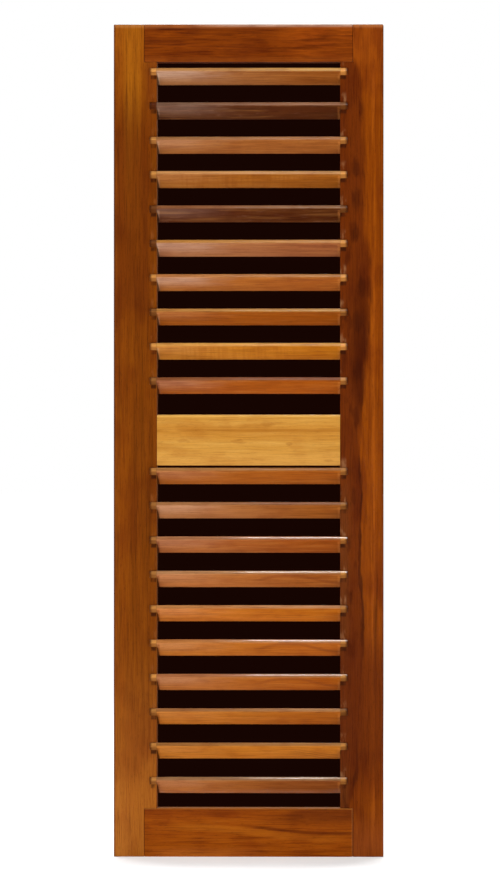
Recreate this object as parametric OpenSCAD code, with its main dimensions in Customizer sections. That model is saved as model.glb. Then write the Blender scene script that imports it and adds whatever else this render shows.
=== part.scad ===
// Fixed-louvre timber shutter leaf: two stiles, three rails and two banks of sloping slats.
// Origin: centre of the bottom edge, at mid thickness of the frame. +Z is up, +X to the right, -Y to the front.

/* [Leaf] */
// Overall width across both stiles
leaf_w = 400; // [300:1:700]
// Overall height
leaf_h = 1235; // [950:1:1900]
// Thickness of the stiles and of the top and bottom rails
leaf_t = 30; // [28:0.5:45]
// Radius that eases the edges of the frame
edge_r = 1.5; // [0.5:0.1:3]

/* [Frame members] */
// Face width of each stile
stile_w = 64; // [50:1:100]
// Height of the top rail
top_rail_h = 56; // [45:1:100]
// Height of the bottom rail
bottom_rail_h = 72; // [45:1:120]
// Height of the middle rail
mid_rail_h = 76; // [50:1:110]
// Setback of the middle rail's front and back from the faces of the frame
mid_rail_setback = 1; // [0:0.25:3]
// Radius on the middle rail's top front edge
mid_rail_arris_r = 4; // [1:0.5:8]

/* [Joinery] */
// Distance that the front lap of the top and bottom rails reaches over each stile
lap_w = 19; // [10:1:30]
// Thickness of the front lap
lap_t = 10; // [6:0.5:13]
// Thickness of the tenons
tenon_t = 10; // [6:0.5:12]
// Length of the tenons on the top and bottom rails
tenon_l = 40; // [25:1:45]
// Length of the stub tenons on the middle rail
stub_l = 16; // [12:1:30]
// Height of the shoulder above and below each tenon
tenon_shoulder = 10; // [6:1:15]
// Clearance round each lap and tenon
joint_fit = 0.1; // [0.05:0.05:0.3]
// Relief between the end of a tenon and its mortise
mortise_relief = 1; // [0.5:0.25:3]

/* [Slats] */
// Width of a slat, from its front edge to its back edge
slat_w = 31; // [25:0.5:38]
// Thickness of a slat
slat_t = 8; // [6:0.25:10]
// Slope of the slats, down from the front edge to the back edge
slat_angle = 40; // [30:1:50]
// Distance that the upper front edge of a slat stands in front of the frame
slat_proud = 1; // [0:0.25:3]
// Radius on the long edges of a slat
slat_edge_r = 1.2; // [0.5:0.1:2]
// Depth of the housings that hold the slats in the stiles
housing_d = 10.75; // [8:0.25:20]
// Clearance round a slat in its housing
slat_fit = 0.15; // [0.05:0.05:0.4]
// Gap between the end of a slat and the bottom of its housing
slat_end_gap = 0.25; // [0.1:0.05:1]

/* [Setting out] */
// Clear height between the top rail and the first slat
gap_under_top_rail = 8; // [4:0.5:30]
// Clear height between the upper bank and the middle rail
gap_over_mid_rail = 30; // [4:0.5:50]
// Clear height between the middle rail and the lower bank
gap_under_mid_rail = 2; // [1:0.5:30]
// Clear height between the lower bank and the bottom rail
gap_over_bottom_rail = 21; // [4:0.5:40]

/* [Hidden] */
BANK_COUNT = 10;  // slats in each of the two banks
SLAT_COUNT = 2 * BANK_COUNT;

opening_w = leaf_w - 2 * stile_w;
opening_h = leaf_h - top_rail_h - bottom_rail_h;
front_y = -leaf_t / 2;
back_y = leaf_t / 2;
lap_back_y = front_y + lap_t;  // back of the laps, and front of the tenons

// The slats share what height the rails and the margins leave, at one pitch in both banks.
slat_drop = slat_w * sin(slat_angle) + slat_t * cos(slat_angle);
margins = gap_under_top_rail + gap_over_mid_rail + gap_under_mid_rail + gap_over_bottom_rail;
pitch = (opening_h - mid_rail_h - margins - 2 * slat_drop) / (SLAT_COUNT - 2);
bank_h = (BANK_COUNT - 1) * pitch + slat_drop;

top_rail_z = leaf_h - top_rail_h;
upper_bank_top = top_rail_z - gap_under_top_rail;
mid_rail_z = upper_bank_top - bank_h - gap_over_mid_rail - mid_rail_h;
lower_bank_top = mid_rail_z - gap_under_mid_rail;

STILE_COLOUR = "#7a3c10";
RAIL_COLOUR = "#71330c";
MID_RAIL_COLOUR = "#cd913e";
TAN = "#a06a32";
UMBER = "#5a2f15";
GOLD = "#b7702a";
RUSSET = "#a35a1c";
// The slats are mixed boards, listed from the top of the leaf to the bottom.
SLAT_COLOURS = [
    TAN, UMBER, TAN, GOLD, UMBER, TAN, RUSSET, GOLD, GOLD, RUSSET,
    RUSSET, TAN, RUSSET, TAN, RUSSET, RUSSET, RUSSET, GOLD, GOLD, RUSSET,
];

function slat_name(n) = str("slat_", n < 10 ? "0" : "", n);

// Height of the upper front edge of slat n, counted from the top of the leaf
function slat_top(n) = n <= BANK_COUNT
    ? upper_bank_top - (n - 1) * pitch
    : lower_bank_top - (n - 1 - BANK_COUNT) * pitch;

// A rectangle from the origin with its four corners rounded to radius r
module eased_rectangle(w, h, r) {
    translate([r, 0]) square([w - 2 * r, h]);
    translate([0, r]) square([w, h - 2 * r]);
    for (x = [r, w - r], y = [r, h - r]) translate([x, y]) circle(r = r, $fn = 32);
}

// Extrudes a profile drawn in Y and Z along X
module along_x(length) {
    rotate([90, 0, 90]) linear_extrude(length) children();
}

// A board with all of its edges eased, centred on X and Y and standing on Z = 0
module eased_board(w, t, h, r) {
    translate([-w / 2, -t / 2, 0]) intersection() {
        linear_extrude(h) eased_rectangle(w, t, r);
        along_x(w) eased_rectangle(t, h, r);
        translate([0, t, 0]) rotate([90, 0, 0]) linear_extrude(t) eased_rectangle(w, h, r);
    }
}

// The space of a tenon, or with fit and relief of its mortise, on both sides of the opening
module tenons(length, z, rail_h, fit = 0, relief = 0) {
    reach = opening_w / 2 + length + relief;
    translate([-reach, lap_back_y - fit, z + tenon_shoulder - fit])
        cube([2 * reach, tenon_t + 2 * fit, rail_h - 2 * tenon_shoulder + 2 * fit]);
}

// The space of a rail's front laps, or with fit of the notches that take them, across the whole leaf
module laps(z, rail_h, fit = 0) {
    reach = opening_w / 2 + lap_w + fit;
    translate([-reach, front_y - fit, z - fit])
        cube([2 * reach, lap_t + 2 * fit, rail_h + 2 * fit]);
}

// Places a profile drawn at a slat's upper front edge, and extrudes it between the two x values
module on_slope(n, x0, x1) {
    translate([x0, front_y - slat_proud, slat_top(n)])
        rotate([-slat_angle, 0, 0]) along_x(x1 - x0) children();
}

// The housings of slat n: open at the front face, stopped at the slat's back edge
module housings(n) {
    reach = opening_w / 2 + housing_d;
    on_slope(n, -reach, reach)
        translate([-slat_t, -slat_t - slat_fit])
            square([slat_t + slat_w + slat_fit, slat_t + 2 * slat_fit]);
}

// A stile on the side that the sign gives, notched and mortised for the rails and housed for the slats
module stile(side) {
    color(STILE_COLOUR) difference() {
        translate([side * (leaf_w - stile_w) / 2, 0, 0]) eased_board(stile_w, leaf_t, leaf_h, edge_r);
        laps(0, bottom_rail_h, joint_fit);
        laps(top_rail_z, top_rail_h, joint_fit);
        tenons(tenon_l, 0, bottom_rail_h, joint_fit, mortise_relief);
        tenons(tenon_l, top_rail_z, top_rail_h, joint_fit, mortise_relief);
        tenons(stub_l, mid_rail_z, mid_rail_h, joint_fit, mortise_relief);
        for (n = [1 : SLAT_COUNT]) housings(n);
    }
}

module left_stile() {
    stile(-1);
}

module right_stile() {
    stile(1);
}

// A rail that laps over the stiles at the front, butts between them at the back and has a tenon at each end
module lapped_rail(z, rail_h) {
    whole_w = opening_w + 2 * lap_w;
    color(RAIL_COLOUR) {
        difference() {
            translate([0, 0, z]) eased_board(whole_w, leaf_t, rail_h, edge_r);
            for (side = [-1, 1])
                translate([side * (opening_w + whole_w) / 2 - whole_w / 2, lap_back_y, z - 1])
                    cube([whole_w, leaf_t, rail_h + 2]);
        }
        tenons(tenon_l, z, rail_h);
    }
}

module top_rail() {
    lapped_rail(top_rail_z, top_rail_h);
}

module bottom_rail() {
    lapped_rail(0, bottom_rail_h);
}

// The rail between the banks: butted between the stiles on stub tenons, with a rounder top front edge
module mid_rail() {
    rail_t = leaf_t - 2 * mid_rail_setback;
    color(MID_RAIL_COLOUR) {
        translate([-opening_w / 2, -rail_t / 2, mid_rail_z]) along_x(opening_w) difference() {
            eased_rectangle(rail_t, mid_rail_h, edge_r);
            translate([0, mid_rail_h - mid_rail_arris_r]) difference() {
                square(mid_rail_arris_r);
                translate([mid_rail_arris_r, 0]) circle(r = mid_rail_arris_r, $fn = 48);
            }
        }
        tenons(stub_l, mid_rail_z, mid_rail_h);
    }
}

module slat(n) {
    reach = opening_w / 2 + housing_d - slat_end_gap;
    color(SLAT_COLOURS[n - 1])
        on_slope(n, -reach, reach)
            translate([0, -slat_t]) eased_rectangle(slat_w, slat_t, slat_edge_r);
}

left_stile();
right_stile();
top_rail();
bottom_rail();
mid_rail();
for (n = [1 : SLAT_COUNT])
    slat(n);
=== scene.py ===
"""Looks for a fixed-louvre timber shutter leaf: boards of mixed hardwood under a glossy varnish."""
import math

import bmesh
import bpy
from mathutils import Matrix, Vector, noise

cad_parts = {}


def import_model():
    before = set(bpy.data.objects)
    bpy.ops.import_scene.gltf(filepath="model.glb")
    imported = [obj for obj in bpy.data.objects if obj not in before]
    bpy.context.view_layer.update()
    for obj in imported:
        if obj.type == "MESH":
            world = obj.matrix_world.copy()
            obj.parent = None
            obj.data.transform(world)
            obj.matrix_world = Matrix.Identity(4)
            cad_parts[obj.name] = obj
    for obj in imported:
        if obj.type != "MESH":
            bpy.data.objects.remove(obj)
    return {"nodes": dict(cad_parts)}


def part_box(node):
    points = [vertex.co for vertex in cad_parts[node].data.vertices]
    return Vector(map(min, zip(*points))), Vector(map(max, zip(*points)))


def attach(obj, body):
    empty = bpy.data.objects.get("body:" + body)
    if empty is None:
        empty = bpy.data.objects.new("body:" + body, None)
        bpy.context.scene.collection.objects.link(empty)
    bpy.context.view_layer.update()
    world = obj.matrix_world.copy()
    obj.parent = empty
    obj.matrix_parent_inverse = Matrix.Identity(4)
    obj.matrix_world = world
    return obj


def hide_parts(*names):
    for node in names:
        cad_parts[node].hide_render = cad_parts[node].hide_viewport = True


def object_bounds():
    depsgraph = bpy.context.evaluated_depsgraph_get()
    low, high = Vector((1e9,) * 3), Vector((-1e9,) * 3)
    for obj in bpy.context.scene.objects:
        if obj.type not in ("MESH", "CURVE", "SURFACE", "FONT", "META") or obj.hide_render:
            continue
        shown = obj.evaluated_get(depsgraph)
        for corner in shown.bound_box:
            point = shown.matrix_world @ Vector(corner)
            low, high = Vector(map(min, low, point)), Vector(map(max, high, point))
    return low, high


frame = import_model()
cad_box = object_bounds()
BODY = "root"
MM = 0.001

# ---------------------------------------------------------------- sizes, from the frame, in metres
LEAF_LOW, LEAF_HIGH = cad_box
LEAF_H = LEAF_HIGH.z - LEAF_LOW.z
STILE_LOW, STILE_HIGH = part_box("left_stile")
FRONT_Y, BACK_Y = STILE_LOW.y, STILE_HIGH.y
OPENING_X = -STILE_HIGH.x  # half the clear width between the stiles
SLAT_NAMES = sorted(n for n in frame["nodes"] if n.startswith("slat_"))

# ---------------------------------------------------------------- slats and arrises, in metres
SLAT_W = 31 * MM
SLAT_T = 8 * MM
SLAT_TILT = math.radians(40)  # from the level, front edge high
SLAT_ARRIS = 1.5 * MM
SLAT_EASE = 0.05 * MM  # kept inside the sawn size all round
SLAT_CROWN = 0.09 * MM  # how far the planed front edge bellies out
SLAT_FLAT = SLAT_T / 2 - SLAT_ARRIS  # half of what the arrises leave flat of that edge
CROWN_CUTS = (-0.6, -0.2, 0.2, 0.6)  # where the crown bends, in shares of the flat
SLAT_BAYS = 26  # lengths that a slat is divided into, so that it can bow
SLAT_BOW = 0.12 * MM  # the mean sag at a slat's middle
SLAT_TWIST = math.radians(0.35)  # the most that a slat winds from its middle to an end
LEAN_WHOLE = 0.25  # how free of its housings a slat is, from 0 to 1, where its lean is whole
SLAT_WAVE = 0.12 * MM  # unevenness left by the plane
WAVES_ALONG, WAVES_ACROSS = 22, 60  # how closely that unevenness comes, to the metre
FRAME_ARRIS = 0.35 * MM
SHARP = math.radians(40)  # faces that meet at more than this have an arris between them
FLUSH = math.radians(0.5)  # faces that meet at less than this are one face
WELD = 0.002 * MM
WAVE_SEED_STEP = 10.0


def srgb(code):
    """Linear colour of a six-digit hex code."""
    parts = [int(code[i : i + 2], 16) / 255 for i in (0, 2, 4)]
    return tuple(c / 12.92 if c <= 0.04045 else ((c + 0.055) / 1.055) ** 2.4 for c in parts) + (1.0,)


# ---------------------------------------------------------------- camera
CAMERA_DISTANCE = 8.4  # from the front of the frame
CAMERA_OFFSET = 0.30  # to the right of the leaf's middle
VIEW_TO_LEAF = 1.0625  # view height over leaf height
LEAF_SHIFT = (-0.0017, 0.0022)  # the leaf's middle from the view's middle, in view heights
SENSOR = 36.0


def camera():
    """A long lens a little to the right of the leaf, shifted sideways to keep the leaf in the view."""
    data = bpy.data.cameras.new("camera")
    view_h = VIEW_TO_LEAF * LEAF_H
    data.sensor_width = SENSOR
    data.lens = CAMERA_DISTANCE * SENSOR / view_h
    turn = math.atan(CAMERA_OFFSET / CAMERA_DISTANCE)
    data.shift_x = -math.tan(turn / 2) * CAMERA_DISTANCE / view_h - LEAF_SHIFT[0]
    cam = bpy.data.objects.new("camera", data)
    cam.location = (CAMERA_OFFSET, FRONT_Y - CAMERA_DISTANCE, LEAF_H / 2 - LEAF_SHIFT[1] * view_h)
    cam.rotation_euler = (math.radians(90), 0, turn / 2)
    bpy.context.scene.collection.objects.link(cam)
    bpy.context.scene.camera = cam


# ---------------------------------------------------------------- helpers for nodes and meshes
def node(tree, kind, values=None, **settings):
    """A shader node with its settings and its input values, each a number, a colour or a link."""
    made = tree.nodes.new("ShaderNode" + kind)
    for key, value in settings.items():
        setattr(made, key, value)
    for key, value in (values or {}).items():
        if isinstance(value, bpy.types.NodeSocket):
            tree.links.new(value, made.inputs[key])
        else:
            made.inputs[key].default_value = value
    return made


def new_object(name, bm):
    """Puts a finished bmesh in the scene as an object, at the origin."""
    mesh = bpy.data.meshes.new(name)
    bm.to_mesh(mesh)
    bm.free()
    obj = bpy.data.objects.new(name, mesh)
    bpy.context.scene.collection.objects.link(obj)
    return obj


# ---------------------------------------------------------------- stage and light
FLOOR_HALF = 60.0
FLOOR_GREY = (0.8, 0.8, 0.8, 1)
FLOOR_GLOW = 0.43
WHITE = (1, 1, 1, 1)
CARD_REACH = 0.02  # how far the dark card passes the openings on either side
CARD_SHORT = 0.04  # how far it stops short of the leaf's top and bottom
CARD_GAP = 0.001


def floor():
    """A wide pale floor that glows a little, so that it and the sky run into one."""
    bm = bmesh.new()
    bmesh.ops.create_grid(bm, x_segments=1, y_segments=1, size=FLOOR_HALF)
    obj = new_object("floor", bm)
    mat = bpy.data.materials.new("pale_floor")
    mat.use_nodes = True
    shader = mat.node_tree.nodes["Principled BSDF"]
    shader.inputs["Base Color"].default_value = FLOOR_GREY
    shader.inputs["Roughness"].default_value = 1.0
    shader.inputs["Emission Color"].default_value = WHITE
    shader.inputs["Emission Strength"].default_value = FLOOR_GLOW
    obj.data.materials.append(mat)
    obj.visible_glossy = False


def painted_shade_card():
    """Painted shade: a dark card close behind the openings, standing in for the shade seen through them,
    seen from the front only, and only by the camera.
    """
    bm = bmesh.new()
    bmesh.ops.create_grid(bm, x_segments=1, y_segments=1, size=0.5)
    width, height = 2 * OPENING_X + 2 * CARD_REACH, LEAF_H - 2 * CARD_SHORT
    bmesh.ops.scale(bm, vec=(width, height, 1), verts=bm.verts)
    bmesh.ops.rotate(bm, matrix=Matrix.Rotation(math.radians(90), 3, "X"), verts=bm.verts)
    bmesh.ops.translate(bm, vec=(0, BACK_Y + CARD_GAP, LEAF_H / 2), verts=bm.verts)
    obj = new_object("dark_card", bm)
    mat = bpy.data.materials.new("dark_card")
    mat.use_nodes = True
    tree = mat.node_tree
    tree.nodes.clear()
    # painted shade: the flat dark colour seen through the openings
    dark = node(tree, "Emission", {"Color": srgb("150502")})
    clear = node(tree, "BsdfTransparent")
    side = node(tree, "NewGeometry")
    faces = {0: side.outputs["Backfacing"], 1: dark.outputs[0], 2: clear.outputs[0]}
    mix = node(tree, "MixShader", faces)
    node(tree, "OutputMaterial", {"Surface": mix.outputs[0]})
    obj.data.materials.append(mat)
    for ray in ("diffuse", "glossy", "transmission", "volume_scatter", "shadow"):
        setattr(obj, "visible_" + ray, False)


def aimed_light(name, data, place, aim):
    """Hangs a light out of the camera's sight, turned towards aim."""
    obj = bpy.data.objects.new(name, data)
    obj.location = place
    obj.rotation_mode = "QUATERNION"
    obj.rotation_quaternion = (Vector(aim) - Vector(place)).to_track_quat("-Z", "Y")
    obj.visible_camera = False
    bpy.context.scene.collection.objects.link(obj)
    return obj


def area_light(name, place, aim, size, power, mirrored=False, lit=True):
    """A soft box. One that isn't mirrored lights the wood without showing in its varnish."""
    data = bpy.data.lights.new(name, "AREA")
    data.shape = "RECTANGLE"
    data.size, data.size_y = size
    data.energy = power
    obj = aimed_light(name, data, place, aim)
    obj.visible_glossy = mirrored
    obj.visible_diffuse = lit


def overhead_sun(slope, power, softness):
    """Even light for the whole floor, from just behind the leaf, so that its shadow falls short in front."""
    data = bpy.data.lights.new("sun", "SUN")
    data.energy = power
    data.angle = math.radians(softness)
    aimed_light("sun", data, (-slope[0], -slope[1], 1.0), (0, 0, 0))


def world(seen, felt, mirrored):
    """A plain sky: bright behind the leaf, dimmer as light, and dimmer still where varnish mirrors it."""
    sky = bpy.data.worlds.new("studio")
    sky.use_nodes = True
    tree = sky.node_tree
    ray = node(tree, "LightPath")
    by_gloss = {"Value": ray.outputs["Is Glossy Ray"], "To Min": felt, "To Max": mirrored}
    soft = node(tree, "MapRange", by_gloss)
    by_sight = {"Value": ray.outputs["Is Camera Ray"], "To Min": soft.outputs[0], "To Max": seen}
    level = node(tree, "MapRange", by_sight)
    back = tree.nodes["Background"]
    back.inputs["Color"].default_value = WHITE
    tree.links.new(level.outputs[0], back.inputs["Strength"])
    bpy.context.scene.world = sky


def lighting():
    """Soft boxes round the leaf, and a small lamp that shows only as a glint in the varnish."""
    middle = (0, 0, LEAF_H / 2)
    overhead_sun(slope=(0.03, -0.20), power=2.3, softness=12)
    area_light("key", (-1.6, -3.0, 3.2), middle, size=(2.2, 1.6), power=92)
    area_light("low_fill", (0.9, -3.6, 0.35), middle, size=(2.0, 0.5), power=25)
    area_light("back", (1.0, 3.4, 2.6), middle, size=(2.0, 1.4), power=60, mirrored=True)
    low_slats = (0.06, -0.03, 0.4)
    area_light("glint", (0.06, -0.21, 1.75), low_slats, (0.24, 0.06), power=3.0, mirrored=True, lit=False)
    world(seen=1.0, felt=0.05, mirrored=0.02)


camera()
floor()
painted_shade_card()
lighting()
bpy.context.scene.view_settings.view_transform = "Standard"

# ---------------------------------------------------------------- board frames
RAIL_TURN = Matrix(((1, 0, 0), (0, 0, 1), (0, -1, 0))).transposed()
STILE_TURN = Matrix(((0, 0, 1), (-1, 0, 0), (0, -1, 0))).transposed()
SLAT_TURN = Matrix.Rotation(math.pi - SLAT_TILT, 3, "X")


def board_turn(name):
    """A board's own axes: along its grain, across its face (up, or to the left) and out of its face."""
    if name.startswith("slat_"):
        return SLAT_TURN
    return STILE_TURN if name.endswith("stile") else RAIL_TURN


def board_middle(name):
    """The middle of a board's box, in metres."""
    low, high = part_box(name)
    return (low + high) / 2


# ---------------------------------------------------------------- pieces
def soft_shading(obj):
    """Smooth shading that keeps the large faces flat and the arrises crisp."""
    obj.data.polygons.foreach_set("use_smooth", [True] * len(obj.data.polygons))
    obj.data.set_sharp_from_angle(angle=SHARP)
    even = obj.modifiers.new("even_shading", "WEIGHTED_NORMAL")
    even.keep_sharp = True


def slat_blank(length):
    """A true slat with eased arrises, cut up so that it can bow along and belly across its edge."""
    bm = bmesh.new()
    bmesh.ops.create_cube(bm, size=1.0)
    size = (length - 2 * SLAT_EASE, SLAT_W - 2 * SLAT_EASE, SLAT_T - 2 * SLAT_EASE)
    bmesh.ops.scale(bm, vec=size, verts=bm.verts)
    long_edges = [e for e in bm.edges if abs(e.verts[0].co.x - e.verts[1].co.x) > length / 2]
    bmesh.ops.bevel(
        bm, geom=long_edges, offset=SLAT_ARRIS, segments=4, profile=0.5, affect="EDGES", material=-1
    )
    along, through = Vector((1, 0, 0)), Vector((0, 0, 1))
    cuts = [(along, (-0.5 + bay / SLAT_BAYS) * length) for bay in range(1, SLAT_BAYS)]
    cuts += [(through, share * SLAT_FLAT) for share in CROWN_CUTS]
    for way, place in cuts:
        geom = bm.verts[:] + bm.edges[:] + bm.faces[:]
        bmesh.ops.bisect_plane(bm, geom=geom, plane_co=way * place, plane_no=way)
    return bm


def plane_by_hand(bm, bow, twist, lean, seed):
    """Takes a blank out of true between its housings, and leaves the marks of the plane on it."""
    for v in bm.verts:
        if v.co.y > SLAT_W / 2 - SLAT_ARRIS:
            v.co.y -= SLAT_CROWN * (v.co.z / SLAT_FLAT) ** 2
        free = max(0.0, 1 - (v.co.x / OPENING_X) ** 2)
        turn = twist * free * v.co.x / OPENING_X + lean * min(1.0, free / LEAN_WHOLE)
        y, z = v.co.y, v.co.z
        spot = Vector((v.co.x * WAVES_ALONG, y * WAVES_ACROSS, z * WAVES_ACROSS + seed))
        wave = SLAT_WAVE * free * noise.noise(spot)
        squeeze = 1 - abs(wave) / SLAT_T
        v.co.y = (y * math.cos(turn) - z * math.sin(turn)) * squeeze
        v.co.z = (y * math.sin(turn) + z * math.cos(turn)) * squeeze - bow * free


def slat_board(name, bow, twist, lean):
    """A planed louvre slat in its place, straight inside its housings."""
    low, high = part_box(name)
    bm = slat_blank(high.x - low.x)
    plane_by_hand(bm, bow, twist, lean, seed=WAVE_SEED_STEP * int(name[-2:]))
    bmesh.ops.rotate(bm, matrix=SLAT_TURN, verts=bm.verts)
    bmesh.ops.translate(bm, vec=board_middle(name), verts=bm.verts)
    bmesh.ops.recalc_face_normals(bm, faces=bm.faces)
    obj = new_object(name + "_board", bm)
    soft_shading(obj)
    return obj


def framing_board(name):
    """A stile or rail: its sawn shape with every sharp arris taken off."""
    bm = bmesh.new()
    bm.from_mesh(frame["nodes"][name].data)
    bmesh.ops.remove_doubles(bm, verts=bm.verts, dist=WELD)
    bmesh.ops.dissolve_limit(bm, angle_limit=FLUSH, verts=bm.verts, edges=bm.edges)
    sharp = [e for e in bm.edges if e.is_manifold and e.calc_face_angle() > SHARP]
    bmesh.ops.bevel(
        bm,
        geom=sharp,
        offset=FRAME_ARRIS,
        segments=2,
        profile=0.5,
        affect="EDGES",
        material=-1,
        clamp_overlap=True,
    )
    bmesh.ops.triangulate(bm, faces=bm.faces)
    obj = new_object(name + "_board", bm)
    soft_shading(obj)
    return obj


# ---------------------------------------------------------------- varnished wood
MIX_A, MIX_B, MIX_RESULT = 6, 7, 2  # the colour sockets of a Mix node
WOOD_SPECULAR = 0.06
VARNISH_ROUGHNESS = 0.11
ROUGHNESS_SPREAD = 0.12  # how far the wood's own roughness strays either way
FIBRE_RELIEF = 0.12 * MM
FIBRE_BUMP = 0.35


class Finish:
    """Layers of one board's varnished finish, measured in millimetres in the board's own frame."""

    def __init__(self, name, seed):
        self.mat = bpy.data.materials.new("varnished_" + name)
        self.mat.use_nodes = True
        self.tree = self.mat.node_tree
        self.shader = self.tree.nodes["Principled BSDF"]
        self.seed = seed
        coords = node(self.tree, "TexCoord")
        self.place = node(
            self.tree,
            "Mapping",
            {
                "Vector": coords.outputs["Object"],
                "Location": board_middle(name),
                "Rotation": board_turn(name).to_euler(),
                "Scale": (MM, MM, MM),
            },
            vector_type="TEXTURE",
        ).outputs[0]
        split = node(self.tree, "SeparateXYZ", {0: self.place})
        self.along, self.across, self.out = split.outputs
        self.colour = None
        self.relief = None

    # ------------------------------------------------ numbers and masks
    def calc(self, operation, a, b=0.0):
        return node(self.tree, "Math", {0: a, 1: b}, operation=operation).outputs[0]

    def product(self, *masks):
        result = masks[0]
        for mask in masks[1:]:
            result = self.calc("MULTIPLY", result, mask)
        return result

    def rise(self, value, low, high):
        """0 at low and 1 at high, smoothly between."""
        values = {"Value": value, "From Min": low, "From Max": high}
        return node(self.tree, "MapRange", values, interpolation_type="SMOOTHSTEP").outputs[0]

    def near(self, value, centre, half, soft):
        """1 within half of centre, and falling to 0 over soft."""
        away = self.calc("ABSOLUTE", self.calc("SUBTRACT", value, centre))
        return self.rise(away, half + soft, half)

    def front_only(self):
        """1 over the front of a stile or rail, and 0 over its back."""
        return self.rise(self.out, 2, 12)

    def spot(self, along, across, half_along, half_across, ragged=0.35):
        """A rounded patch with a soft, ragged edge."""
        du = self.calc("DIVIDE", self.calc("SUBTRACT", self.along, along), half_along)
        dv = self.calc("DIVIDE", self.calc("SUBTRACT", self.across, across), half_across)
        flat = node(self.tree, "CombineXYZ", {0: du, 1: dv})
        away = node(self.tree, "VectorMath", {0: flat.outputs[0]}, operation="LENGTH").outputs["Value"]
        rough = self.cloud(half_along, half_across, 2.0, 5.0 + along)
        away = self.calc("ADD", away, self.calc("MULTIPLY", self.calc("SUBTRACT", rough, 0.5), 4 * ragged))
        return self.rise(away, 1.35, 0.45)

    def cloud(self, length, width, detail=2.0, offset=0.0, where=None):
        """Noise drawn out along the grain: each mark is about length by width."""
        values = {0: where or self.place, 1: (1 / length, 1 / width, 1 / width)}
        stretch = node(self.tree, "VectorMath", values, operation="MULTIPLY")
        values = {"Vector": stretch.outputs[0], "W": self.seed + offset, "Scale": 1.0, "Detail": detail}
        return node(self.tree, "TexNoise", values, noise_dimensions="4D").outputs[0]

    def wandering(self, swing, length, width, offset):
        """The board's frame with its grain lines swung across by up to swing."""
        sway = self.calc("SUBTRACT", self.cloud(length, width, 1.0, offset), 0.5)
        shifted = self.calc("ADD", self.across, self.calc("MULTIPLY", sway, 2 * swing))
        return node(self.tree, "CombineXYZ", {0: self.along, 1: shifted, 2: self.out}).outputs[0]

    def drawn(self, points, low, high):
        """A curve through given points: each a share of the length, and a height between low and high."""
        length = LEAF_H / MM
        share = self.calc("ADD", self.calc("DIVIDE", self.along, length), 0.5)
        made = node(self.tree, "FloatCurve", {"Value": share})
        curve = made.mapping.curves[0]
        for at, height in points[1:-1]:
            curve.points.new(at, (height - low) / (high - low))
        for end, (at, height) in ((0, points[0]), (-1, points[-1])):
            curve.points[end].location = (at, (height - low) / (high - low))
        made.mapping.update()
        return self.calc("ADD", self.calc("MULTIPLY", made.outputs[0], high - low), low)

    # ------------------------------------------------ layers of colour
    def mix(self, mask, a, b, blend="MIX"):
        made = node(self.tree, "Mix", {0: mask, MIX_A: a, MIX_B: b}, data_type="RGBA", blend_type=blend)
        return made.outputs[MIX_RESULT]

    def tint(self, mask, code, amount):
        """Covers the colour below with another, as far as mask times amount."""
        self.colour = self.mix(self.calc("MULTIPLY", mask, amount), self.colour, srgb(code))

    def shade(self, mask, code, amount):
        """Darkens the colour below by multiplying it, as far as mask times amount: for stains, and for
        painted shade.
        """
        self.colour = self.mix(self.calc("MULTIPLY", mask, amount), self.colour, srgb(code), "MULTIPLY")

    def figure(self, base, dark, light, marks, strength, swing=2.0):
        """The wood's own pattern over a base colour: dark and light marks, drawn out along the grain."""
        self.colour = base
        where = self.wandering(swing, 3 * marks[0][0], 4 * marks[0][1], 7.0)
        for step, (length, width) in enumerate(marks):
            mark = self.cloud(length, width, 2.5, 11.0 + step, where)
            self.tint(self.rise(mark, 0.52, 0.26), dark, strength)
            self.tint(self.rise(mark, 0.50, 0.76), light, strength)

    def fibre(self, strength):
        """Fine fibre and open pores: close-up texture, and the relief under the varnish."""
        fine = self.cloud(38, 0.9, 2.0, 21.0)
        self.shade(self.rise(fine, 0.55, 0.30), "98785c", strength)
        pores = self.rise(self.cloud(7, 0.45, 1.0, 23.0), 0.60, 0.72)
        self.shade(pores, "6a4630", strength)
        self.relief = self.calc("SUBTRACT", self.calc("MULTIPLY", fine, 0.5), pores)

    def blotches(self, size, code, strength):
        """Uneven varnish: soft patches that a second colour stains."""
        mark = self.cloud(2 * size, size, 2.0, 31.0)
        self.shade(self.rise(mark, 0.46, 0.70), code, strength)

    def sawn_ends(self, half_length):
        """Darker, thirstier wood on the end grain."""
        ends = self.rise(self.calc("ABSOLUTE", self.along), half_length - 0.9, half_length - 0.2)
        self.shade(ends, "8a6048", 0.7)

    def finish(self, obj, rough=0.40, gloss=0.3):
        """Varnish over everything, with a little unevenness in its gloss."""
        inputs = self.shader.inputs
        self.tree.links.new(self.colour, inputs["Base Color"])
        patchy = {
            "Value": self.cloud(50, 12, 2.0, 41.0),
            "To Min": rough - ROUGHNESS_SPREAD,
            "To Max": rough + ROUGHNESS_SPREAD,
        }
        self.tree.links.new(node(self.tree, "MapRange", patchy).outputs[0], inputs["Roughness"])
        raised = {"Height": self.relief, "Strength": FIBRE_BUMP, "Distance": FIBRE_RELIEF}
        self.tree.links.new(node(self.tree, "Bump", raised).outputs[0], inputs["Normal"])
        inputs["Specular IOR Level"].default_value = WOOD_SPECULAR
        inputs["Coat Weight"].default_value = gloss
        inputs["Coat Roughness"].default_value = VARNISH_ROUGHNESS
        obj.data.materials.clear()
        obj.data.materials.append(self.mat)


# ---------------------------------------------------------------- finishes of the framing
# Sizes here are in millimetres, from a board's middle: along its grain, across its face and out of it.
STILE_HALF = (STILE_HIGH.x - STILE_LOW.x) / 2 / MM
STILE_TOP = LEAF_H / 2 / MM
LAP = 19  # how far a rail's front lap reaches over a stile
RAIL_END = OPENING_X / MM + LAP


def half_height(name):
    low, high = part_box(name)
    return (high.z - low.z) / 2 / MM


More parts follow.
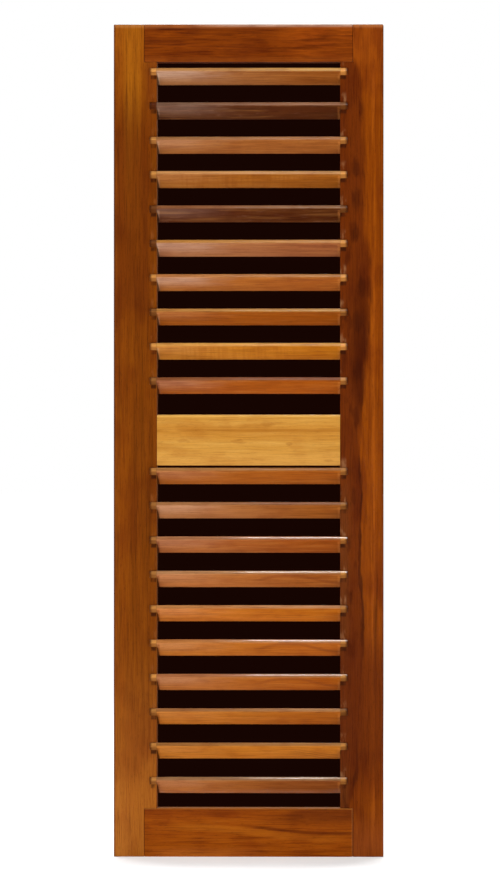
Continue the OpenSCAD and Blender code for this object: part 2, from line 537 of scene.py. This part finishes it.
TOP_HALF = half_height("top_rail")
BOTTOM_HALF = half_height("bottom_rail")
MID_HALF = half_height("mid_rail")
SLAT_HEIGHTS = [(board_middle(n).z - LEAF_H / 2) / MM for n in SLAT_NAMES]
BAYS = (SLAT_HEIGHTS[9::-1], SLAT_HEIGHTS[:9:-1])  # the slats above and below the mid rail, going up


def by_slat_ends(f, inner, reach, lift, tall):
    """A mask beside each slat's end on a stile; inner is where the stile's inner edge lies across it."""
    total = 0.0
    for heights in BAYS:
        first, last = heights[0] + lift, heights[-1] + lift
        pitch = (last - first) / (len(heights) - 1)
        turns = f.calc("DIVIDE", f.calc("SUBTRACT", f.along, first - pitch / 2), pitch)
        away = f.calc("ABSOLUTE", f.calc("SUBTRACT", f.calc("FRACT", turns), 0.5))
        close = f.rise(away, 1.6 * tall / pitch, 0.5 * tall / pitch)
        inside = f.near(f.along, (first + last) / 2, (last - first) / 2 + pitch / 2, 0.5)
        total = f.calc("MAXIMUM", total, f.product(close, inside))
    return f.product(f.near(f.across, inner, reach, 2.0), total)


def around_slats(f, inner, smear, amount):
    """Painted shadow under each slat's end, and smears of old varnish around it."""
    patchy = f.rise(f.cloud(30, 9, 1.0, 53.0), 0.25, 0.60)
    front = f.front_only()
    # painted shadow cast by each slat's proud end on the stile below it, broken into patches
    f.tint(f.product(by_slat_ends(f, inner, 8.0, -1.5, 2.8), patchy, front), "2c1004", 0.8)
    ragged = f.rise(f.cloud(16, 6, 3.0, 51.0), 0.46, 0.66)
    f.tint(f.product(by_slat_ends(f, inner, 8, 15, 9), ragged, front), smear, amount)


def left_stile_finish(obj):
    """Golden brown, darker in its upper half and palest at its foot."""
    f = Finish("left_stile", 1.3)
    outer = f.rise(f.across, -2, 26)
    base = f.mix(outer, srgb("7b3b02"), srgb("874103"))
    f.figure(base, "5e2c00", "904b03", ((300, 8), (150, 3.6)), 0.45, 3.0)
    broken = f.rise(f.cloud(220, 9), 0.2, 0.6)
    f.tint(f.product(f.near(f.across, 4, 7, 9), f.rise(f.along, 150, 560), broken), "a8640c", 0.7)
    f.tint(f.rise(f.along, 450, 600), "9e560c", 0.6)
    f.tint(f.product(f.rise(f.along, 400, 560), f.rise(f.across, -12, -22)), "7c3808", 0.6)
    f.tint(f.rise(f.along, -260, -600), "b4681e", 0.85)
    f.tint(f.product(f.rise(f.along, -430, -600), f.rise(f.across, -6, 24)), "bc7128", 0.55)
    f.tint(f.product(f.near(f.along, 335, 100, 110), f.near(f.across, 5, 20, 14)), "662a02", 0.7)
    f.tint(f.product(f.rise(f.across, 24, 30), f.near(f.along, -60, 420, 80)), "94500f", 0.35)
    f.blotches(38, "c49c88", 0.5)
    broken = f.rise(f.cloud(90, 9), 0.40, 0.56)
    f.shade(f.product(f.near(f.across, 13, 0.4, 1.5), f.rise(f.along, 380, 520), broken), "805030", 0.6)
    # painted highlight along the stile's rounded top edge, lit from above
    f.tint(f.rise(f.along, STILE_TOP - 7, STILE_TOP - 2), "b8783c", 0.55)
    # painted shade: the outer arris darkened where it rounds away from the light
    f.shade(f.rise(f.across, STILE_HALF - 3.0, STILE_HALF - 1.0), "7c5c48", 0.6)
    around_slats(f, -STILE_HALF, "9c5a28", 0.4)
    # painted highlight: a light line on the rounded inner arris beside the openings
    f.tint(f.rise(f.across, 1.2 - STILE_HALF, 0.3 - STILE_HALF), "a05a1c", 0.6)
    f.sawn_ends(STILE_TOP)
    f.fibre(0.45)
    f.finish(obj)


# The edge of the right stile's heartwood: a share of the stile's length, going up, and how far across.
HEART_EDGE = (
    (0.0, 30),
    (0.05, 24),
    (0.10, 8),
    (0.20, 2),
    (0.28, -2),
    (0.35, 3),
    (0.42, 1),
    (0.49, 3),
    (0.56, -3),
    (0.63, -9),
    (0.70, -13),
    (0.76, -5),
    (0.85, -3),
    (0.92, 0),
    (0.96, 14),
    (1.0, 30),
)


# Dark flecks in the heartwood: along, across, and how big.
HEART_FLECKS = ((405, 8, 9), (357, 7, 11), (308, 9, 9), (229, 0, 10), (176, 6, 12), (103, 6, 11))


def heartwood(f):
    """Red-brown heartwood towards the slats, with a wandering edge, a dark rim, patches and flecks."""
    edge = f.drawn(HEART_EDGE, -15, 35)
    ripple = f.calc("MULTIPLY", f.calc("SUBTRACT", f.cloud(34, 7, 2.0, 61.0), 0.5), 13)
    depth = f.calc("SUBTRACT", f.calc("ADD", f.across, ripple), edge)
    heart = f.rise(depth, -5.0, 5.0)
    f.tint(heart, "662802", 0.9)
    f.tint(f.product(heart, f.rise(f.across, 14, 24), f.rise(f.along, -20, -120)), "6c3812", 0.5)
    f.tint(f.product(heart, f.spot(125, 1, 110, 15, 0.12)), "4a1800", 0.8)
    broken = f.rise(f.cloud(60, 30), 0.3, 0.5)
    f.tint(f.product(f.near(depth, 0.5, 0.8, 2.2), f.rise(f.along, 0, -50), broken), "381305", 0.65)
    f.tint(f.product(heart, f.rise(f.cloud(40, 11, 3.0, 63.0), 0.54, 0.66)), "4a1902", 0.55)
    f.tint(f.near(f.along, -400, 60, 70), "642602", 0.75)
    for along, across, size in HEART_FLECKS:
        f.tint(f.spot(along, across, 1.5 * size, 0.65 * size), "401502", 0.55)


def right_stile_finish(obj):
    """Orange brown along its outer side, with heartwood beside the slats."""
    f = Finish("right_stile", 5.1)
    f.figure(srgb("863c00"), "662a00", "9a4d02", ((300, 6), (130, 3)), 0.5, 3.0)
    bright = f.product(f.near(f.across, -17, 1.2, 3.0), f.rise(f.cloud(200, 14), 0.42, 0.55))
    f.tint(bright, "a65208", 0.6)
    f.tint(f.product(f.near(f.across, -20, 1.0, 2.5), f.near(f.along, -310, 55, 30)), "4e1e04", 0.6)
    f.tint(f.rise(f.along, 480, 600), "98480a", 0.6)
    f.tint(f.rise(f.along, -540, -605), "96481a", 0.5)
    heartwood(f)
    f.blotches(34, "bc9080", 0.5)
    # painted highlight along the stile's rounded top edge, lit from above
    f.tint(f.rise(f.along, STILE_TOP - 7, STILE_TOP - 2), "bc7440", 0.6)
    around_slats(f, STILE_HALF, "a4744c", 0.5)
    f.sawn_ends(STILE_TOP)
    f.fibre(0.45)
    f.finish(obj)


def top_rail_finish(obj):
    """Dark at the left and orange at the right, with a painted highlight along its top arris, paler and
    patchy at the left.
    """
    f = Finish("top_rail", 2.7)
    f.figure(srgb("783302"), "5c2102", "8e4105", ((80, 4.2), (36, 2.4)), 0.6, 5.0)
    left = f.product(f.rise(f.along, -30, -120), f.rise(f.cloud(80, 4.5, 2.0, 71.0), 0.50, 0.60))
    f.tint(left, "4c1803", 0.75)
    right = f.product(f.rise(f.along, 10, 100), f.rise(f.cloud(60, 5.5, 2.0, 73.0), 0.42, 0.58))
    f.tint(right, "9e4908", 0.75)
    f.tint(f.rise(f.across, 11 - TOP_HALF, 3 - TOP_HALF), "863f0a", 0.75)
    front = f.front_only()
    # painted highlight: the rounded top arris catching the light from above, with pale patches at the left
    f.tint(f.product(f.rise(f.across, TOP_HALF - 7.5, TOP_HALF - 2.5), front), "ac6430", 0.7)
    patchy = f.product(f.rise(f.across, TOP_HALF - 5.0, TOP_HALF - 1.5), f.rise(f.along, -110, 0))
    f.tint(f.product(patchy, f.rise(f.cloud(60, 5), 0.30, 0.46), front), "c09a84", 0.8)
    f.blotches(24, "bc9080", 0.45)
    f.sawn_ends(RAIL_END)
    f.fibre(0.45)
    f.finish(obj)


def bottom_rail_finish(obj):
    """Orange brown with a sweep of lighter grain, and darker at the upper right."""
    f = Finish("bottom_rail", 8.2)
    f.figure(srgb("a04c03"), "7a3202", "b4600c", ((110, 5), (46, 2.8)), 0.5, 6.0)
    f.tint(f.product(f.rise(f.across, 2, 24), f.rise(f.along, -10, 110)), "6c2c04", 0.75)
    f.tint(f.product(f.rise(f.across, 18, 28), f.rise(f.along, 60, -40)), "883a04", 0.5)
    sweep = f.calc("ADD", f.across, f.calc("MULTIPLY", f.rise(f.along, -90, 120), 17))
    f.tint(f.product(f.near(sweep, 8, 2.0, 5.5), f.near(f.along, 10, 95, 50)), "b4620e", 0.6)
    f.tint(f.product(f.near(sweep, 16, 1.0, 2.0), f.rise(f.along, -20, 30)), "602404", 0.6)
    f.tint(f.product(f.rise(f.across, -18, -32), f.near(f.along, -60, 50, 50)), "b8621a", 0.8)
    f.blotches(26, "bc9080", 0.4)
    # painted highlight along the rounded top arris
    f.tint(f.rise(f.across, BOTTOM_HALF - 2.4, BOTTOM_HALF - 0.6), "c07830", 0.7)
    # painted highlight on the rounded arris at the rail's right end
    f.tint(f.rise(f.along, RAIL_END - 3.0, RAIL_END - 0.8), "a4602c", 0.6)
    f.sawn_ends(RAIL_END)
    f.fibre(0.45)
    f.finish(obj)


# Faint brown flecks on the middle rail: along, across, and how big.
MID_RAIL_FLECKS = ((-98, -1, 4.0), (-15, -2, 4.5), (28, 24, 4.5), (60, -5, 3.0), (118, -30, 2.5))


def mid_rail_finish(obj):
    """A pale yellow wood of its own, with one dark line, a few flecks, a painted highlight on its top arris
    and painted shade on its bottom arris.
    """
    f = Finish("mid_rail", 4.4)
    f.figure(srgb("ca903c"), "bc802c", "d8a450", ((110, 7), (50, 3)), 0.5, 3.0)
    f.tint(f.rise(f.across, -8, -36), "d79c4a", 0.6)
    f.tint(f.near(f.across, 12, 6, 10), "bf7e2a", 0.6)
    line = f.calc("ADD", f.across, f.calc("MULTIPLY", f.cloud(70, 400, 1.0, 81.0), 3))
    broken = f.rise(f.cloud(60, 6, 1.0, 83.0), 0.3, 0.5)
    f.tint(f.product(f.near(line, 16.0, 0.8, 2.6), broken), "a9681c", 0.7)
    for along, across, size in MID_RAIL_FLECKS:
        f.tint(f.spot(along, across, 2.2 * size, 0.8 * size, 0.5), "9c5c1a", 0.35)
    # painted highlight: the rounded top arris catching the light from above
    f.tint(f.rise(f.across, MID_HALF - 4.6, MID_HALF - 2.0), "f4bc5e", 0.85)
    # painted shade on the bottom arris, which faces down away from the light
    f.shade(f.rise(f.across, 1.4 - MID_HALF, -MID_HALF), "8a5020", 0.8)
    f.blotches(20, "dcc0a0", 0.35)
    f.fibre(0.25)
    f.finish(obj, 0.42)


# ---------------------------------------------------------------- finishes of the slats
# Each slat: its face at the left and right, its front edge at the left and right (lighter, with painted
# light), how much painted sheen its face has at the left, how far it leans out of true in degrees, and how
# bright its ends in the housings are painted, lit in front and shaded below, from 0 to 1.
SLATS = {
    1: ("a56c3e", "8b4a14", "c88c4e", "e0a858", 0.75, 0.0, (0.85, 1.0)),
    2: ("56301a", "4b220a", "7c5c48", "a06a44", 0.25, 0.0, (0.0, 0.2)),
    3: ("a1622e", "965420", "a87242", "b87846", 0.25, 0.0, (0.65, 0.65)),
    4: ("a3601f", "97540f", "d89a5c", "d49a5c", 0.1, 0.0, (0.7, 0.85)),
    5: ("562810", "4c2004", "965e36", "98683e", 0.2, 0.0, (0.1, 0.15)),
    6: ("aa7048", "9a5a32", "c8883c", "d4924c", 0.6, 0.0, (0.1, 0.85)),
    7: ("b06a2c", "a4581c", "c88246", "c48444", 0.7, 0.0, (0.7, 0.9)),
    8: ("9d520c", "904502", "c48840", "d29a50", 0.1, 0.0, (0.2, 0.45)),
    9: ("c07a24", "b86c0e", "ecac54", "f0ac50", 0.1, 0.0, (0.8, 1.0)),
    10: ("9c5016", "a04f0a", "945830", "8c4e26", 0.3, 0.0, (0.3, 0.6)),
    11: ("a95d1c", "a35512", "b47c44", "b8783a", 0.2, 0.0, (0.5, 0.5)),
    12: ("bc7c48", "98541a", "b07848", "986038", 0.4, 0.0, (0.4, 0.35)),
    13: ("ad6430", "98490c", "b87c50", "a86c40", 0.25, -0.4, (0.45, 0.65)),
    14: ("bc743a", "a0581e", "c48c5c", "b88050", 0.2, -0.5, (0.5, 0.65)),
    15: ("c77424", "b8640e", "cc8a4c", "d0905a", 0.2, 0.0, (0.6, 0.5)),
    16: ("c57626", "b55f14", "c47c3c", "c48a58", 0.25, -1.2, (0.75, 0.6)),
    17: ("bb7030", "ac580e", "b87244", "b07848", 0.3, -1.0, (0.85, 0.55)),
    18: ("c57621", "a95a12", "ac7240", "bc8450", 0.1, 0.0, (0.5, 0.25)),
    19: ("cc7c20", "cb7a22", "a87038", "b67e44", 0.1, 0.0, (0.65, 0.6)),
    20: ("c27636", "904c1e", "a87a50", "a88058", 0.25, -1.6, (0.65, 0.6)),
}
EDGE = SLAT_W / 2 / MM
OPENING = OPENING_X / MM
# the pale left ends of the upper slats are painted highlights
LAST_LIT_END_SLAT = 9  # the upper slats are pale at their left ends, and the others are dark there
SLAT_ROUGH = 0.36
SLAT_SEED, SLAT_SEED_STEP = 10.0, 3.7
FULL_VARNISH, THIN_VARNISH = 0.55, 0.05


def slat_finish(obj, name):
    """One slat's own two colours under a painted sheen, its front edge, and its ends by the stiles."""
    number = int(name[-2:])
    face_left, face_right, edge_left, edge_right, painted_sheen, lean, ears = SLATS[number]
    f = Finish(name, SLAT_SEED + SLAT_SEED_STEP * number)
    run = f.rise(f.along, -130, 120)
    base = f.mix(run, srgb(face_left), srgb(face_right))
    f.figure(base, "743810", "cc8a44", ((150, 5.5), (60, 2.6)), 0.2, 3.0)
    # painted sheen: a pale reflection over the left of the face, towards its top
    sheen_edge = f.calc("ADD", f.along, f.calc("MULTIPLY", f.cloud(30, 6, 2.0, 91.0), 90))
    pale = f.product(f.rise(sheen_edge, 40, -70), f.rise(f.across, -12, 10))
    f.tint(pale, "cfb4a4", 0.5 * painted_sheen)
    slat_marks(f, number)
    slat_front_edge(f, f.mix(run, srgb(edge_left), srgb(edge_right)))
    slat_face_ends(f, number, painted_sheen)
    for side, bright in zip((-1, 1), ears):
        slat_end_in_housing(f, side, bright)
    f.blotches(18, "c8a088", 0.3)
    f.fibre(0.4)
    f.finish(obj, SLAT_ROUGH, FULL_VARNISH if lean else THIN_VARNISH)


def slat_front_edge(f, colour):
    """The narrow edge that faces forwards, painted lighter than the face below it, as light from above falls
    on the edge.
    """
    edge = f.product(f.rise(f.across, EDGE - 1.5, EDGE - 0.6), f.rise(f.out, 4.2, 1.2))
    # painted highlight: the edge's lighter colour stands in for the light that falls on it
    f.colour = f.mix(edge, f.colour, colour)
    f.tint(f.product(edge, f.rise(f.cloud(60, 2.5, 2.0, 93.0), 0.50, 0.66)), "8a5020", 0.35)


def slat_face_ends(f, number, painted_sheen):
    """The face beside the stiles with painted highlights at its ends, painted shade on its back arris, and a
    painted shadow for the housing's gap at its left.
    """
    ragged = f.rise(f.cloud(5, 8, 2.0, 99.0), 0.25, 0.60)
    face = f.product(f.rise(f.across, EDGE - 2.0, EDGE - 4.0), ragged)
    # painted highlight on the rounded arris at the face's left end for the upper slats; the lower slats are
    # darker there
    left_end = f.product(face, f.near(f.along, 1.8 - OPENING, 0.8, 2.2))
    if number <= LAST_LIT_END_SLAT:
        f.tint(left_end, "c8a486", 0.2 + 0.4 * painted_sheen)
    else:
        f.shade(left_end, "b08468", 0.6)
    # painted highlight on the rounded arris at the face's right end
    f.tint(f.product(face, f.near(f.along, OPENING - 1.8, 0.8, 2.2)), "e08c44", 0.3)
    # painted shade on the back arris, where the face rounds away from the light
    f.shade(f.rise(f.across, 2.5 - EDGE, 0.8 - EDGE), "805030", 0.6)
    # painted shadow: a dark sliver at the left end, standing in for the shaded gap of the housing
    slope = f.calc("MULTIPLY", f.calc("SUBTRACT", EDGE - 3, f.across), 0.13)
    housing_shadow = f.rise(f.calc("SUBTRACT", f.calc("ADD", f.along, OPENING), slope), 0.5, -0.3)
    f.tint(f.product(housing_shadow, f.rise(f.along, -OPENING - 0.8, -OPENING)), "2a0f04", 0.75)


def slat_end_in_housing(f, side, bright):
    """The end that shows in a stile's open housing: painted lit in front, and painted in shadow below."""
    here = f.calc("MULTIPLY", f.along, side)
    housed = f.rise(here, OPENING - 0.4, OPENING + 1.6)
    # painted shadow: the part of the end inside the housing, below its front
    f.colour = f.mix(housed, f.colour, f.mix(bright, srgb("46200a"), srgb("7a4016")))
    # painted highlight: the rounded front of the end, lit from above
    rounded = f.product(f.near(f.out, 0.4, 1.8, 3.0), f.rise(here, OPENING + 10.5, OPENING + 6))
    lit_front = f.mix(bright, srgb("5e2a0a"), srgb("f8ac54"))
    f.colour = f.mix(f.product(housed, rounded), f.colour, lit_front)


def slat_marks(f, number):
    """What one slat has of its own: bands, streaks and curls in its figure."""
    if number in (4, 9):
        bands = f.rise(f.cloud(5, 60, 1.0, 95.0), 0.45, 0.62)
        f.tint(f.product(bands, f.near(f.along, -10, 60, 60)), "8f4c0e" if number == 4 else "a65e12", 0.35)
    if number in (2, 5):
        f.tint(f.rise(f.cloud(14, 3, 3.0, 97.0), 0.56, 0.72), "8c6450", 0.22)
    if number in (6, 7):
        broken = f.rise(f.cloud(40, 5), 0.35, 0.55)
        f.tint(f.product(f.near(f.across, 9, 1.2, 2.5), f.rise(f.along, 20, 80), broken), "7a3a20", 0.6)
    if number in (14, 16, 17):
        curl = f.calc("SUBTRACT", f.across, f.calc("MULTIPLY", f.near(f.along, 60, 10, 60), 16))
        f.tint(f.product(f.near(curl, -4, 1.2, 3.5), f.rise(f.along, 0, 30)), "843c18", 0.45)
    if number == 19:
        curl = f.calc("ADD", f.across, f.calc("MULTIPLY", f.rise(f.along, 60, 136), 14))
        for level in (-2, 3, 8):
            f.tint(f.product(f.near(curl, level, 0.6, 1.2), f.rise(f.along, 50, 80)), "94501a", 0.45)


# ---------------------------------------------------------------- the leaf, piece by piece
def fit(board, name):
    """Puts a finished board in its node's place."""
    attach(board, BODY)
    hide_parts(name)


FRAME_FINISHES = {
    "left_stile": ("stile", left_stile_finish),
    "right_stile": ("stile", right_stile_finish),
    "top_rail": ("rail", top_rail_finish),
    "bottom_rail": ("rail", bottom_rail_finish),
    "mid_rail": ("mid_rail", mid_rail_finish),
}
for name, (slot, finish) in FRAME_FINISHES.items():
    board = framing_board(name)
    finish(board)
    fit(board, name)

SLAT_SLOTS = {
    "slat_tan": (1, 3, 6, 12, 14),
    "slat_umber": (2, 5),
    "slat_gold": (4, 8, 9, 18, 19),
    "slat_russet": (7, 10, 11, 13, 15, 16, 17, 20),
}
for slot, numbers in SLAT_SLOTS.items():
    for number in numbers:
        name = f"slat_{number:02d}"
        bow = SLAT_BOW * (1 + math.sin(2.1 * number))
        twist = SLAT_TWIST * math.sin(3.7 * number)
        lean = math.radians(SLATS[number][5])
        board = slat_board(name, bow, twist, lean)
        slat_finish(board, name)
        fit(board, name)
